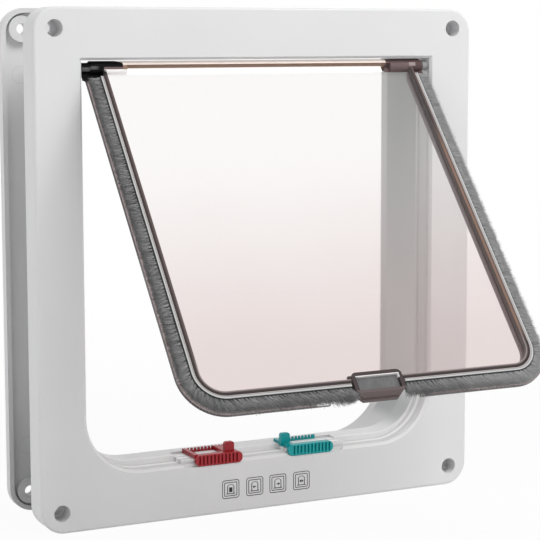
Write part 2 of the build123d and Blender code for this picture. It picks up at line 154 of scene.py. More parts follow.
class Graph:
    """Builds nodes in one tree, of a material, a world or a geometry group."""

    def __init__(self, tree: bpy.types.NodeTree) -> None:
        """Keeps the tree that every node goes into."""
        self.tree = tree

    def add(self, kind: str, inputs: Optional[Inputs] = None, **settings: Any) -> bpy.types.Node:
        """Adds a node.

        Args:
            kind: Blender's name of the node type.
            inputs: Values, terms, sockets or nodes for the node's inputs, by name or place.
            settings: Node properties, which are set first.

        Returns:
            The new node.
        """
        node = self.tree.nodes.new(kind)
        for name, value in settings.items():
            setattr(node, name, value)
        for key, value in (inputs or {}).items():
            self.feed(node.inputs[key], value)
        return node

    def feed(self, socket: bpy.types.NodeSocket, value: Any) -> None:
        """Links a term, a socket or a node's first output to an input, or sets its value."""
        if isinstance(value, bpy.types.Node):
            value = value.outputs[0]
        elif isinstance(value, Term):
            value = value.socket
        if isinstance(value, bpy.types.NodeSocket):
            self.tree.links.new(value, socket)
        elif socket.type == "RGBA" and len(value) == 3:
            socket.default_value = (*value, 1.0)
        else:
            socket.default_value = value

    def term(self, node: bpy.types.Node, output: Union[str, int] = 0) -> Term:
        """Wraps one output of a node."""
        return Term(self, node.outputs[output])

    def math(self, operation: str, *operands: Number) -> Term:
        """Adds a Math node with the operands in order."""
        return self.term(self.add("ShaderNodeMath", dict(enumerate(operands)), operation=operation))

    def length(self, first: Term, second: Term) -> Term:
        """Length of the diagonal over two sides."""
        return self.math("SQRT", first * first + second * second)

    def vector(self, operation: str, inputs: Inputs) -> bpy.types.NodeSocket:
        """Adds a Vector Math node and gives its vector output."""
        return self.add("ShaderNodeVectorMath", inputs, operation=operation).outputs["Vector"]

    def blend(self, factor: Number, first: Any, second: Any) -> bpy.types.NodeSocket:
        """Mixes two colours.

        Args:
            factor: 0 gives the first colour, 1 the second.
            first: A colour or a colour socket.
            second: A colour or a colour socket.

        Returns:
            The mixed colour's socket.
        """
        return self.add("ShaderNodeMix", {0: factor, 6: first, 7: second}, data_type="RGBA").outputs[2]

    def mixed(self, factor: Number, first: bpy.types.Node, second: bpy.types.Node) -> bpy.types.Node:
        """Mixes two shaders: a factor of 0 gives the first, 1 the second."""
        return self.add("ShaderNodeMixShader", {0: factor, 1: first, 2: second})

    def noise(self, scale: float, detail: float = 2.0) -> Term:
        """Noise between 0 and 1 on Object coordinates.

        Args:
            scale: Features per metre.
            detail: Octaves of finer noise.

        Returns:
            The noise value.
        """
        inputs = {"Vector": self.place(), "Scale": scale, "Detail": detail}
        return self.term(self.add("ShaderNodeTexNoise", inputs))

    def place(self) -> bpy.types.NodeSocket:
        """Object coordinates, which are the row frame's at rest."""
        return self.add("ShaderNodeTexCoord").outputs["Object"]

    def metres(self) -> Tuple[Term, Term, Term]:
        """The three parts of the Object coordinates."""
        node = self.add("ShaderNodeSeparateXYZ", {0: self.place()})
        return self.term(node, 0), self.term(node, 1), self.term(node, 2)

    def millimetres(self) -> Tuple[Term, Term, Term]:
        """The same three parts in millimetres."""
        x, y, z = self.metres()
        return x / MM, y / MM, z / MM

    def attribute(self, name: str) -> Term:
        """Number that the mesh carries under a name."""
        return self.term(self.add("ShaderNodeAttribute", attribute_name=name), "Fac")

    def bump(self, height: Term, strength: float, distance: float) -> bpy.types.NodeSocket:
        """Normal bent by a height.

        Args:
            height: Height between 0 and 1.
            strength: Share of the bump that shows.
            distance: Depth in metres of a height of 1.

        Returns:
            The bent normal's socket.
        """
        inputs = {"Height": height, "Strength": strength, "Distance": distance}
        return self.add("ShaderNodeBump", inputs).outputs["Normal"]

    def coat(self, shader: bpy.types.Node, colour: Any, roughness: Number, normal: Any = None) -> None:
        """Feeds what varies over a surface to its shader.

        Args:
            shader: The Principled shader.
            colour: Base colour.
            roughness: Roughness.
            normal: Bent normal, where there is one.
        """
        self.feed(shader.inputs["Base Color"], colour)
        self.feed(shader.inputs["Roughness"], roughness)
        if normal is not None:
            self.feed(shader.inputs["Normal"], normal)


def blank_graph(owner: Union[bpy.types.Material, bpy.types.World]) -> Graph:
    """Turns on the nodes of a material or a world, and empties its tree."""
    owner.use_nodes = True
    owner.node_tree.nodes.clear()
    return Graph(owner.node_tree)


def new_material(name: str, constants: Dict[str, Any]) -> Tuple[bpy.types.Material, Graph, bpy.types.Node]:
    """Starts a material with one Principled shader.

    Args:
        name: Name of the material.
        constants: Shader sockets that are the same all over the surface.

    Returns:
        The material, its graph and the shader node.
    """
    material = bpy.data.materials.new(name)
    graph = blank_graph(material)
    shader = graph.add("ShaderNodeBsdfPrincipled", constants)
    graph.add("ShaderNodeOutputMaterial", {"Surface": shader})
    return material, graph, shader


@dataclass(frozen=True)
class FlapPlane:
    """Plane of the propped-open flap through its hinge axis."""

    hinge_y: float = -10.5 * MM
    hinge_z: float = 96.0 * MM
    angle: float = math.radians(40.4)

    def turn(self, x: float, down: float, front: float) -> Vector:
        """Direction with these parts along the hinge, down the flap and out of its front."""
        sine, cosine = math.sin(self.angle), math.cos(self.angle)
        return Vector((x, -down * sine - front * cosine, -down * cosine + front * sine))

    def point(self, x: float, down: float, front: float) -> Vector:
        """Point with these distances along the hinge, down the flap and in front of its plane."""
        return Vector((0.0, self.hinge_y, self.hinge_z)) + self.turn(x, down, front)

    def coordinates(self, graph: Graph) -> Tuple[Term, Term, Term]:
        """The same three distances as terms of a material."""
        x, y, z = graph.metres()
        sine, cosine = math.sin(self.angle), math.cos(self.angle)
        back, below = self.hinge_y - y, self.hinge_z - z
        return x, back * sine + below * cosine, back * cosine - below * sine


@dataclass(frozen=True)
class RibOutline:
    """Outside of the rib round the flap: straight sides, a straight foot and round corners."""

    half_width: float = 84.2 * MM
    end: float = 180.4 * MM
    radius: float = 12.1 * MM

    def growth(self, graph: Graph, x: Term, down: Term) -> Term:
        """Distance outside the outline, negative inside it."""
        across = abs(x) - (self.half_width - self.radius)
        below = down - (self.end - self.radius)
        corner = graph.length(across.at_least(0.0), below.at_least(0.0))
        return corner + across.at_least(below).at_most(0.0) - self.radius


@dataclass(frozen=True)
class FlapSpot:
    """Place on the flap in millimetres: along the hinge, down, in front, and outside the rib's outline."""

    x: Term
    down: Term
    front: Term
    growth: Term

    @classmethod
    def measure(cls, graph: Graph, plane: FlapPlane, outline: RibOutline) -> "FlapSpot":
        """Works out the place from the Object coordinates.

        Args:
            graph: Graph of the material.
            plane: Plane of the flap.
            outline: Outside of its rib.

        Returns:
            The place as terms of the material.
        """
        x, down, front = plane.coordinates(graph)
        growth = outline.growth(graph, x, down)
        return cls(x / MM, down / MM, front / MM, growth / MM)


@dataclass(frozen=True)
class MouldedFinish:
    """Satin light grey moulded plastic, with painted shade and light inside the opening, and painted step
    lines or ejector rings where asked.
    """

    name: str
    gloss: float = 0.45
    ejector_rings: bool = False
    painted_mouth_steps: bool = False
    colour: Colour = (0.80, 0.80, 0.805)
    flow_mark: Colour = (0.772, 0.772, 0.776825)
    # Painted shade and light on the walls inside the opening.
    tunnel: Colour = (0.70, 0.715, 0.715)
    tunnel_shade: Colour = (0.545, 0.56, 0.56)
    tunnel_lit: Colour = (0.84, 0.855, 0.855)
    # Painted shade on the step faces and painted highlight on their edges round the mouth.
    seam_and_groove_shade: Colour = (0.69, 0.69, 0.695)
    crest: Colour = (0.95, 0.95, 0.95)
    ring: Colour = (0.42, 0.42, 0.43)
    roughness: float = 0.42
    tunnel_half_width: float = 97.0
    tunnel_half_height: float = 104.5
    tunnel_depth: Band = (-2.7, -2.3, 32.0, 34.0)
    sill: float = -95.4
    steps_half_width: float = 95.6
    steps_height: Band = (-99.9, -99.7, -72.0, -60.0)
    groove_shades: Tuple[Band, ...] = ((-12.2, -11.8, -9.4, -8.8), (-6.2, -5.6, -4.1, -3.9))
    crest_highlights: Tuple[Band, ...] = (
        (-9.0, -8.4, -6.8, -6.2),
        (-4.05, -3.95, -3.5, -3.3),
        (-3.1, -3.0, -2.6, -2.5),
    )
    bevel_highlight: Band = (-14.97, -14.9, -13.8, -13.6)
    bevel_highlight_share: float = 0.4
    ring_radius: float = 4.2
    ring_edge: Point2 = (0.35, 0.1)
    ring_share: float = 0.16
    ring_places: Tuple[Point2, ...] = ((107.5, 92.5), (84.0, 115.0))

    def material(self) -> bpy.types.Material:
        """Builds the material."""
        material, graph, shader = new_material(
            self.name, {"IOR": PLASTIC_IOR, "Specular IOR Level": self.gloss}
        )
        x, y, z = graph.millimetres()
        flow, grain = graph.noise(9.0, 3.0), graph.noise(2600.0)
        colour = graph.blend(flow.ramp(0.35, 0.7), self.colour, self.flow_mark)
        # Painted shade and light on the walls inside the opening.
        colour = graph.blend(self._tunnel(x, y, z), colour, self._wall(graph, z))
        height = grain * 0.35
        # Painted shade on the step faces and painted highlights along their edges and the front chamfer.
        if self.painted_mouth_steps:
            groove_shades, crest_highlights = self._step_light_and_shade(x, y, z)
            colour = graph.blend(groove_shades, colour, self.seam_and_groove_shade)
            colour = graph.blend(crest_highlights, colour, self.crest)
        if self.ejector_rings:
            distances = (graph.length(abs(x) - along, abs(z) - up) for along, up in self.ring_places)
            rings = union(abs(far - self.ring_radius).ramp(*self.ring_edge) for far in distances)
            colour = graph.blend(rings * self.ring_share, colour, self.ring)
            height = height - rings
        normal = graph.bump(height, 0.25, 0.05 * MM)
        graph.coat(shader, colour, self.roughness + flow * 0.08 + grain * 0.04, normal)
        return material

    def _tunnel(self, x: Term, y: Term, z: Term) -> Term:
        """Mask of the walls inside the opening, above its sill, which carry painted shade and light."""
        wide, high = self.tunnel_half_width, self.tunnel_half_height
        within = abs(x).ramp(wide, wide - 0.4) * abs(z).ramp(high, high - 0.4)
        return within * y.band(self.tunnel_depth) * z.ramp(self.sill + 1.0, self.sill + 6.5)

    def _wall(self, graph: Graph, z: Term) -> bpy.types.NodeSocket:
        """Tint of the walls inside the opening: painted shade near its top and its foot, painted light lower
        down, above the foot.
        """
        wall = graph.blend(z.ramp(0.0, 75.0), self.tunnel, self.tunnel_shade)
        wall = graph.blend(z.ramp(20.0, -47.0), wall, self.tunnel_lit)
        return graph.blend(z.ramp(-72.0, -86.0), wall, self.tunnel_shade)

    def _step_light_and_shade(self, x: Term, y: Term, z: Term) -> Tuple[Term, Term]:
        """Masks of painted shade lines and painted highlight lines that stand for fine steps round the mouth
        of the opening, low down.
        """
        low = z.band(self.steps_height) * abs(x).ramp(self.steps_half_width + 0.2, self.steps_half_width)
        groove_shades = union(y.band(places) for places in self.groove_shades)
        crest_highlights = union(y.band(places) for places in self.crest_highlights)
        return groove_shades * low, crest_highlights.at_least(y.band(self.bevel_highlight) * self.bevel_highlight_share) * low


@dataclass(frozen=True)
class SmokedFinish:
    """Clear smoke-tinted plastic that turns dark and opaque in the ribs, the hinge and the magnet housing."""

    plane: FlapPlane
    outline: RibOutline = RibOutline()
    rib_width: float = 2.0
    panel_back: float = -1.6
    lip_edge_start: Point2 = (7.85, 8.0)
    bare_lip: Band = (-31.7, -31.3, 22.2, 22.6)
    housing_half_width: float = 12.6
    housing_start: float = 175.7
    housing_foot_start: Point2 = (184.1, 185.1)
    pocket_half_width: float = 10.6
    pocket_wall: Band = (177.45, 177.60, 177.95, 178.00)
    pocket_corner: Band = (10.45, 10.55, 10.95, 11.05)
    pocket_corner_down: Band = (177.45, 177.60, 179.5, 180.1)
    bar_radius: float = 3.6
    bar_underside: float = 0.8
    bar_end: float = 73.6
    bar_lit: Band = (-73.7, -73.5, 67.3, 67.5)
    strip: Band = (-71.5, -71.3, 67.3, 67.5)
    block_start: float = 71.4
    drum_slant_top: float = -0.6
    drum_slant: float = 2.2
    drum_left_inset: float = 2.0
    drum_right_outset: float = 2.4
    end_start: Point2 = (90.6, 91.2)
    block_foot: Band = (-83.3, -82.9, -71.4, -71.2)
    stub: Band = (-73.5, -73.3, -71.4, -71.2)
    stub_down: Band = (0.9, 1.0, 2.4, 2.7)
    glint: Band = (82.2, 82.6, 86.0, 86.2)
    glint_down: float = 1.4
    shine_down: float = 1.9
    shine_start: Point2 = (-85.0, -87.4)
    cheek_length: float = 6.0
    light_through: float = 0.72
    panel_top: Colour = (0.965, 0.945, 0.935)
    panel_foot: Colour = (0.80, 0.70, 0.685)
    lip: Colour = (0.46, 0.385, 0.375)
    lip_edge: Colour = (0.09, 0.068, 0.068)
    rib_deep: Colour = (0.050, 0.040, 0.040)
    rib_lit_side: Colour = (0.130, 0.098, 0.094)
    rib_streak_highlight: Colour = (0.25, 0.155, 0.115)
    rib_soft: Colour = (0.36, 0.30, 0.295)
    rib_inside: Colour = (0.17, 0.15, 0.15)
    rear_rib: Colour = (0.36, 0.32, 0.325)
    bar_clear: Colour = (0.96, 0.90, 0.85)
    painted_light_white: Colour = (0.95, 0.93, 0.92)
    bar_peach: Colour = (0.93, 0.82, 0.75)
    bar_brown: Colour = (0.30, 0.20, 0.15)
    block_left_shade: Colour = (0.005, 0.005, 0.005)
    block_right: Colour = (0.115, 0.075, 0.075)
    block_low: Colour = (0.175, 0.125, 0.125)
    block_glint: Colour = (0.36, 0.30, 0.29)
    block_end: Colour = (0.30, 0.30, 0.30)
    block_shine: Colour = (0.105, 0.105, 0.105)
    glow: Colour = (0.21, 0.20, 0.195)
    housing_rim: Colour = (0.070, 0.054, 0.055)
    housing_foot: Colour = (0.145, 0.115, 0.113)

    def material(self) -> bpy.types.Material:
        """Builds the material: a clear shader and an opaque one, mixed by the zones of the flap."""
        material = bpy.data.materials.new("smoked_plastic")
        graph = blank_graph(material)
        at = FlapSpot.measure(graph, self.plane, self.outline)
        swirl = graph.noise(14.0)
        clear = self._clear(graph, at, swirl)
        zones = [paint(graph, at) for paint in (self._ribs, self._bar, self._blocks, self._housing)]
        colour: Any = self.rib_deep
        for mask, tint in zones:
            colour = graph.blend(mask, colour, tint)
        constants = {"IOR": PLASTIC_IOR, "Specular IOR Level": 0.08, "Emission Strength": 1.0}
        solid = graph.add("ShaderNodeBsdfPrincipled", constants)
        graph.coat(solid, colour, 0.30 + swirl * 0.12)
        graph.feed(solid.inputs["Emission Color"], graph.blend(self._glow(at), BLACK, self.glow))
        both = graph.mixed(union(mask for mask, _ in zones), clear, solid)
        passing = graph.term(graph.add("ShaderNodeLightPath"), "Is Shadow Ray") * self.light_through
        shaded = graph.mixed(passing, both, graph.add("ShaderNodeBsdfTransparent"))
        graph.add("ShaderNodeOutputMaterial", {"Surface": shaded})
        return material

    def _clear(self, graph: Graph, at: FlapSpot, swirl: Term) -> bpy.types.Node:
        """Clear shader of the panel, of the darker lip round it and of the hinge bar.

        Args:
            graph: Graph of the material.
            at: Place on the flap.
            swirl: Slow noise over the panel.

        Returns:
            The shader node.
        """
        panel = graph.blend((at.down + swirl * 20.0).ramp(50.0, 180.0), self.panel_top, self.panel_foot)
        lip = graph.blend(at.growth.ramp(*self.lip_edge_start), self.lip, self.lip_edge)
        lip = graph.blend(at.x.band(self.bare_lip) * at.down.ramp(170.0, 180.0), lip, self.panel_top)
        tinted = graph.blend(at.growth.ramp(0.0, 0.3), panel, lip)
        constants = {"IOR": PLASTIC_IOR, "Transmission Weight": 1.0, "Specular IOR Level": 0.5}
        shader = graph.add("ShaderNodeBsdfPrincipled", constants)
        normal = graph.bump(graph.noise(60.0, 1.0), 0.05, 0.02 * MM)
        graph.coat(shader, graph.blend(self._above(at), tinted, self.bar_clear), 0.03 + swirl * 0.02, normal)
        return shader

    def _ribs(self, graph: Graph, at: FlapSpot) -> Tuple[Term, Any]:
        """Mask and colour of both ribs: painted light on the right side of each rib and on its inner side
        face, a painted highlight streak on the right half, a soft inner edge at the foot, and painted shade
        near the left hinge end.
        """
        width = self.rib_width
        within = at.growth.band((-width - 0.15, -width - 0.05, 0.1, 0.25))
        raised = at.front.ramp(0.02, 0.12)
        behind = at.front.ramp(self.panel_back - 0.02, self.panel_back - 0.12)
        across = 0.5 + graph.math("SIGN", at.x) * (at.growth + width / 2) / width
        bend = (self.outline.end - self.outline.radius) / MM
        foot = at.down.ramp(bend - self.outline.radius / MM, bend)
        # Painted light on the right side of each rib, and a painted highlight streak on the right rib.
        tint = graph.blend(across.ramp(0.3, 0.75) * (1.0 - foot), self.rib_deep, self.rib_lit_side)
        right = at.x.ramp(-20.0, 20.0) * at.down.ramp(35.0, 60.0)
        streak_highlight = graph.blend(across.ramp(0.68, 0.52), self.rib_lit_side, self.rib_streak_highlight)
        tint = graph.blend(right * (1.0 - foot), tint, streak_highlight)
        tint = graph.blend(at.growth.ramp(-0.45 * width, -width) * foot, tint, self.rib_soft)
        # Painted light on the inner side face of the rib.
        tint = graph.blend(at.growth.ramp(-width + 0.05, -width - 0.02), tint, self.rib_inside)
        # Painted shade: the left rib turns black near the hinge end.
        black = at.down.ramp(7.0, 4.0) * self._left(at)
        tint = graph.blend(black, graph.blend(behind, tint, self.rear_rib), self.block_left_shade)
        return within * raised.at_least(behind), tint

    @staticmethod
    def _left(at: FlapSpot) -> Term:
        """Mask of the left half of the flap."""
        return at.x.ramp(20.0, -20.0)

    def _above(self, at: FlapSpot) -> Term:
        """Mask of what lies above the underside of the bar."""
        return at.down.ramp(self.bar_underside + 0.08, self.bar_underside + 0.03)

    def _low(self, at: FlapSpot) -> Term:
        """Mask of the underside of the bar and of what lies below it."""
        return at.down.ramp(self.bar_underside - 0.25, self.bar_underside - 0.1)

    def _underside(self, at: FlapSpot) -> Term:
        """Mask of painted light under the bar: the pale rear strip and the pale foot of the left hinge end.
        """
        strip = self._low(at) * at.front.ramp(1.2, 0.9) * at.x.band(self.strip)
        return strip.at_least(at.x.band(self.block_foot) * at.down.ramp(2.4, 2.7))

    def _glow(self, at: FlapSpot) -> Term:
        """Share of the light that comes through the clear hinge bar, below and on its top."""
        top = at.x.band(self.bar_lit) * at.down.ramp(-0.6, -2.2)
        return self._underside(at).at_least(top) * at.down.ramp(4.2, 4.0)

    def _bar(self, graph: Graph, at: FlapSpot) -> Tuple[Term, Any]:
        """Mask and colour of the bar between the hinge ends: painted light in white above, then peach, brown
        at the foot.
        """
        mask = abs(at.x).ramp(self.bar_end + 0.1, self.bar_end - 0.1) * self._above(at)
        # Painted light: the top of the bar is white.
        tint = graph.blend(at.down.ramp(-2.6, 0.2), self.painted_light_white, self.bar_peach)
        return mask, graph.blend(self._low(at), tint, self.bar_brown)

    def _blocks(self, graph: Graph, at: FlapSpot) -> Tuple[Term, Any]:
        """Mask and colour of the round hinge ends, and of the cheeks and the strip under them, which is
        painted pale as painted light.
        """
        left, start = self._left(at), self.block_start
        near = graph.length(at.down, at.front).ramp(self.bar_radius + 0.15, self.bar_radius + 0.05)
        slanted = (self.drum_slant_top - at.down).at_least(0.0) * self.drum_slant + self.drum_left_inset
        along = abs(at.x) - left * slanted + (1.0 - left) * self.drum_right_outset
        drum = along.ramp(start - 0.1, start + 0.1) * near
        cheek = at.growth.ramp(-0.1, 0.1) * at.down.ramp(self.cheek_length + 3.0, self.cheek_length)
        pale = self._underside(at)
        stub = at.x.band(self.stub) * at.down.band(self.stub_down)
        tint = graph.blend(left, self._right_tint(graph, at), self._left_tint(graph, at))
        # Painted light: the strip under the bar is painted white.
        tint = graph.blend(pale, tint, self.painted_light_white)
        return union((drum, cheek, pale.at_least(stub) * near)), graph.blend(stub, tint, self.bar_brown)

    def _left_tint(self, graph: Graph, at: FlapSpot) -> bpy.types.NodeSocket:
        """Colour of the left hinge end: black as painted shade, mauve underneath, with a painted dull shine
        near the frame.
        """
        mauve = at.down.ramp(1.5, 1.8) * at.x.ramp(*self.block_foot[:2])
        black = graph.blend(mauve, self.block_left_shade, self.block_low)
        shine = abs(at.down - self.shine_down).ramp(0.75, 0.55) * at.front.ramp(0.0, 0.2)
        shine = shine * at.x.ramp(*self.shine_start)
        return graph.blend(shine, black, self.block_shine)

    def _right_tint(self, graph: Graph, at: FlapSpot) -> bpy.types.NodeSocket:
        """Colour of the right hinge end: brown, paler underneath, with a glint and a grey end."""
        low = at.down.ramp(0.4, 1.2) * at.growth.ramp(0.0, -0.3)
        brown = graph.blend(low, self.block_right, self.block_low)
        glint = abs(at.down - self.glint_down).ramp(1.0, 0.7) * at.front.ramp(0.0, 0.2)
        brown = graph.blend(glint * at.x.band(self.glint), brown, self.block_glint)
        return graph.blend(at.x.ramp(*self.end_start), brown, self.block_end)

    def _housing(self, graph: Graph, at: FlapSpot) -> Tuple[Term, Any]:
        """Mask and colour of the magnet housing: dark rim, a painted highlight on the upper wall and the
        right corner of the pocket, browner foot.
        """
        wide, top, pocket = self.housing_half_width, self.housing_start, self.pocket_half_width
        mask = abs(at.x).ramp(wide + 0.15, wide + 0.05) * at.down.ramp(top - 0.15, top - 0.05)
        tint = graph.blend(at.down.ramp(*self.housing_foot_start), self.housing_rim, self.housing_foot)
        wall = abs(at.x).ramp(pocket + 0.1, pocket) * at.down.band(self.pocket_wall)
        corner = at.x.band(self.pocket_corner) * at.down.band(self.pocket_corner_down)
        # Painted highlight on the upper wall and the right corner of the pocket.
        return mask, graph.blend(wall.at_least(corner), tint, self.painted_light_white)


@dataclass(frozen=True)
class FibreFinish:
    """Grey pile fibres in paler and darker strands, in painted shade black at the root, shaded at the tip and
    darker in the gaps between tufts, with painted light towards the right.
    """

    dark: Colour = (0.035, 0.035, 0.036)
    light: Colour = (0.56, 0.56, 0.562)
    base_light: float = 0.20
    strand_light: float = 0.80
    right_light: float = 0.46
    tip_shade: float = 0.25
    gap_shade: float = 0.5

    def material(self) -> bpy.types.Material:
        """Builds the material."""
        material, graph, shader = new_material(
            "pile_fibre", {"Sheen Weight": 0.25, "Sheen Roughness": 0.4, "Specular IOR Level": 0.25}
        )
        along, shade, gap = (graph.attribute(name) for name in ("along", "shade", "gap"))
        x, _, _ = graph.millimetres()
        # Painted light towards the right, painted shade at the tip, the root and the gaps between tufts.
        lit = x.ramp(10.0, 86.0) * self.right_light
        tip = along.ramp(0.70, 0.92) * self.tip_shade * x.ramp(86.0, 70.0)
        body = along.ramp(0.0, 0.14) * (1.0 - tip)
        light = body * (self.base_light + shade * self.strand_light + lit)
        light = light - gap * along.ramp(0.45, 0.1) * self.gap_shade
        light = light.at_least(0.0).at_most(1.0)
        graph.coat(shader, graph.blend(light, self.dark, self.light), 0.78 - shade * 0.18)
        return material


@dataclass(frozen=True)
class BackingFinish:
    """Woven strip along the rib: pinkish in the rib's light, a fine seam, pale grey, then the roots dark in
    painted shade.
    """

    plane: FlapPlane
    outline: RibOutline = RibOutline()
    seam: float = 0.65
    root_start: Point2 = (1.5, 1.7)
    pink: Colour = (0.60, 0.545, 0.53)
    grey: Colour = (0.56, 0.565, 0.56)
    seam_and_groove_shade: Colour = (0.25, 0.235, 0.23)
    root: Colour = (0.03, 0.03, 0.03)

    def material(self) -> bpy.types.Material:
        """Builds the material."""
        material, graph, shader = new_material("pile_weave", {"Sheen Weight": 0.2, "Specular IOR Level": 0.2})
        growth = FlapSpot.measure(graph, self.plane, self.outline).growth
        strands = graph.noise(2400.0, 3.0)
        colour = graph.blend(growth.ramp(self.seam - 0.1, self.seam + 0.1), self.pink, self.grey)
        colour = graph.blend(abs(growth - self.seam).ramp(0.22, 0.08), colour, self.seam_and_groove_shade)
        colour = graph.blend(strands.ramp(0.6, 0.3) * 0.16, colour, self.seam_and_groove_shade)
        # Painted shade where the fibres start.
        colour = graph.blend(growth.ramp(*self.root_start), colour, self.root)
        graph.coat(shader, colour, 0.7 + strands * 0.2, graph.bump(strands, 0.5, 0.1 * MM))
        return material


@dataclass(frozen=True)
class FeltFinish:
    """Matted pile under the loose fibres."""

    dark: Colour = (0.035, 0.035, 0.036)
    light: Colour = (0.12, 0.12, 0.122)
    scale: float = 1800.0

    def material(self) -> bpy.types.Material:
        """Builds the material."""
        material, graph, shader = new_material("pile_felt", {"Sheen Weight": 0.2, "Specular IOR Level": 0.25})
        strands, clumps = graph.noise(self.scale, 3.0), graph.noise(self.scale / 6.0, 1.0)
        colour = graph.blend((strands * 0.7 + clumps * 0.5).ramp(0.3, 0.9), self.dark, self.light)
        graph.coat(shader, colour, 0.7 + strands * 0.2, graph.bump(strands, 0.6, 0.12 * MM))
        return material


@dataclass(frozen=True)
class LockFinish:
    """Coloured gloss plastic of a lock slider, a little lighter on its proud faces."""

    name: str
    colour: Colour
    proud_tone: Colour
    proud_from: Point2 = (-14.9, -15.35)

    def material(self) -> bpy.types.Material:
        """Builds the material."""
        material, graph, shader = new_material(self.name, {"IOR": PLASTIC_IOR, "Specular IOR Level": 0.4})
        _, y, _ = graph.millimetres()
        flow, grain = graph.noise(180.0), graph.noise(3800.0)
        proud = y.ramp(*self.proud_from) * (0.25 + flow * 0.5)
        colour = graph.blend(proud, self.colour, self.proud_tone)
        graph.coat(shader, colour, 0.30 + flow * 0.12, graph.bump(grain, 0.12, 0.03 * MM))
        return material


@dataclass(frozen=True)
class MagnetFinish:
    """Dull grey sintered magnet with a fine speckle."""

    colour: Colour = (0.135, 0.135, 0.138)
    speck: Colour = (0.21, 0.21, 0.21)

    def material(self) -> bpy.types.Material:
        """Builds the material."""
        constants = {"Metallic": 0.25, "Specular IOR Level": 0.4}
        material, graph, shader = new_material("sintered_magnet", constants)
        grain, cloud = graph.noise(1500.0, 4.0), graph.noise(160.0)
        colour = graph.blend((grain * 0.6 + cloud * 0.5).ramp(0.4, 0.8), self.colour, self.speck)
        graph.coat(shader, colour, 0.48 + grain * 0.2, graph.bump(grain, 0.3, 0.04 * MM))
        return material


@dataclass(frozen=True)
class InkFinish:
    """Dark pad-printed ink, thinner in places."""

    colour: Colour = (0.030, 0.030, 0.032)
    thin: Colour = (0.10, 0.10, 0.105)

    def material(self) -> bpy.types.Material:
        """Builds the material."""
        material, graph, shader = new_material("printed_ink", {"Specular IOR Level": 0.35})
        cover = graph.noise(1400.0, 3.0)
        graph.coat(shader, graph.blend(cover.ramp(0.55, 0.8), self.colour, self.thin), 0.5 + cover * 0.2)
        return material


def dress(node: str, material: bpy.types.Material) -> None:
    """Gives a CAD node its finish."""
    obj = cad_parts[node]
    obj.data.materials.clear()
    obj.data.materials.append(material)
    LOG.info("dressed %s in %s", node, material.name)


def mesh_object(name: str, verts: Sequence[Vector], faces: Sequence[Sequence[int]]) -> bpy.types.Object:
    """Makes an object at the origin from points and faces.

    Args:
        name: Name of the object and its mesh.
        verts: Points in the row frame.
        faces: Corner numbers of each face.

    Returns:
        The linked object.
    """
    mesh = bpy.data.meshes.new(name)
    mesh.from_pydata([tuple(v) for v in verts], [], [tuple(f) for f in faces])
    obj = bpy.data.objects.new(name, mesh)
    bpy.context.scene.collection.objects.link(obj)
    return obj


def face_outward(obj: bpy.types.Object) -> None:
    """Merges doubles, points every face outwards and shades it flat."""
    work = bmesh.new()
    work.from_mesh(obj.data)
    bmesh.ops.remove_doubles(work, verts=work.verts, dist=1e-7)
    bmesh.ops.recalc_face_normals(work, faces=work.faces)
    for face in work.faces:
        face.smooth = False
    work.to_mesh(obj.data)
    work.free()


def settle(obj: bpy.types.Object, body: str) -> None:
    """Makes a finished piece ride on a body."""
    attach(obj, body)
    LOG.info("%s rides on %s: %d faces", obj.name, body, len(obj.data.polygons))


class NodeGroup:
    """Geometry tree with named inputs, run once on an object and turned into a plain mesh."""

    def __init__(self, name: str, sizes: Dict[str, Any]) -> None:
        """Starts the tree and its inputs.

        Args:
            name: Name of the tree.
            sizes: Default value of each named input; an int makes a whole-number input.
        """
        self.tree = bpy.data.node_groups.new(name, "GeometryNodeTree")
        self.graph = Graph(self.tree)
        self.sizes = sizes
        self.identifiers: Dict[str, str] = {}
        face = self.tree.interface
        face.new_socket("Geometry", in_out="INPUT", socket_type="NodeSocketGeometry")
        for key, value in sizes.items():
            kind = "NodeSocketInt" if isinstance(value, int) else "NodeSocketFloat"
            self.identifiers[key] = face.new_socket(key, in_out="INPUT", socket_type=kind).identifier
        made = face.new_socket("Material", in_out="INPUT", socket_type="NodeSocketMaterial")
        self.identifiers["Material"] = made.identifier
        face.new_socket("Geometry", in_out="OUTPUT", socket_type="NodeSocketGeometry")
        self.entry = self.graph.add("NodeGroupInput")
        self.exit = self.graph.add("NodeGroupOutput")

    def given(self, name: str) -> Term:
        """One of the tree's named inputs."""
        return self.graph.term(self.entry, name)

    def close(self, instances: bpy.types.Node) -> None:
        """Ends the tree: real geometry, smooth shading and the material."""
        real = self.graph.add("GeometryNodeRealizeInstances", {0: instances})
        smooth = self.graph.add("GeometryNodeSetShadeSmooth", {0: real})
        dressed = self.graph.add("GeometryNodeSetMaterial", {0: smooth, "Material": self.given("Material")})
        self.graph.feed(self.exit.inputs[0], dressed)

    def run(self, obj: bpy.types.Object, material: bpy.types.Material) -> None:
        """Replaces the object's mesh by what the tree makes of it.

        Args:
            obj: Object whose mesh the tree starts from.
            material: Finish of the result.
        """
        modifier = obj.modifiers.new("shape", "NODES")
        modifier.node_group = self.tree
        for key, value in self.sizes.items():
            modifier[self.identifiers[key]] = value
        modifier[self.identifiers["Material"]] = material
        depsgraph = bpy.context.evaluated_depsgraph_get()
        made = bpy.data.meshes.new_from_object(obj.evaluated_get(depsgraph))
        obj.modifiers.clear()
        seed_mesh = obj.data
        obj.data = made
        made.name = obj.name
        bpy.data.meshes.remove(seed_mesh)


@dataclass
class Frames:
    """Inner and outer frame with the magnet in the threshold."""

    inner: MouldedFinish = MouldedFinish("satin_frame", painted_mouth_steps=True)
    outer: MouldedFinish = MouldedFinish("satin_rear_frame", gloss=0.25, ejector_rings=True)
    magnet: MagnetFinish = MagnetFinish()

    def build(self) -> None:
        """Dresses the CAD nodes of the frames."""
        dress("inner_frame", self.inner.material())
        dress("outer_frame", self.outer.material())
        dress("threshold_magnet", self.magnet.material())


